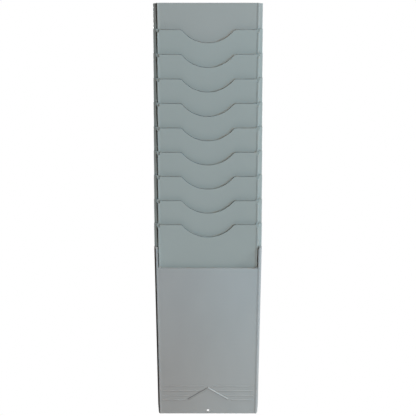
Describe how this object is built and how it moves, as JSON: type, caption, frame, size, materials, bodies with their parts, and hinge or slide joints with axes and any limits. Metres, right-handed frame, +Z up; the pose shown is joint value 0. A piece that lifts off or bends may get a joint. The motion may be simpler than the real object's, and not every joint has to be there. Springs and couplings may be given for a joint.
{
  "type": "time card rack",
  "caption": "Tall narrow wall rack of leaning shingled plastic pockets with finger scoops, a straight header and a longer base pocket, for filing time cards.",
  "frame": {"origin": "axis of the lower screw hole where it meets the wall plane", "axes": "+X to the right across the rack, +Y into the wall, +Z up along the rack; the pockets face -Y"},
  "size_m": [0.0996, 0.043, 0.3901],
  "materials": {
    "header": "satin moulded plastic, blue grey",
    "pocket": "satin moulded plastic, blue grey",
    "base_pocket": "satin moulded plastic, blue grey, slightly glossier"
  },
  "bodies": {
    "root": {"header": "header", "pocket_1": "pocket", "pocket_2": "pocket", "pocket_3": "pocket", "pocket_4": "pocket", "pocket_5": "pocket", "pocket_6": "pocket", "pocket_7": "pocket", "pocket_8": "pocket", "pocket_9": "pocket", "base_pocket": "base_pocket"}
  },
  "joints": []
}
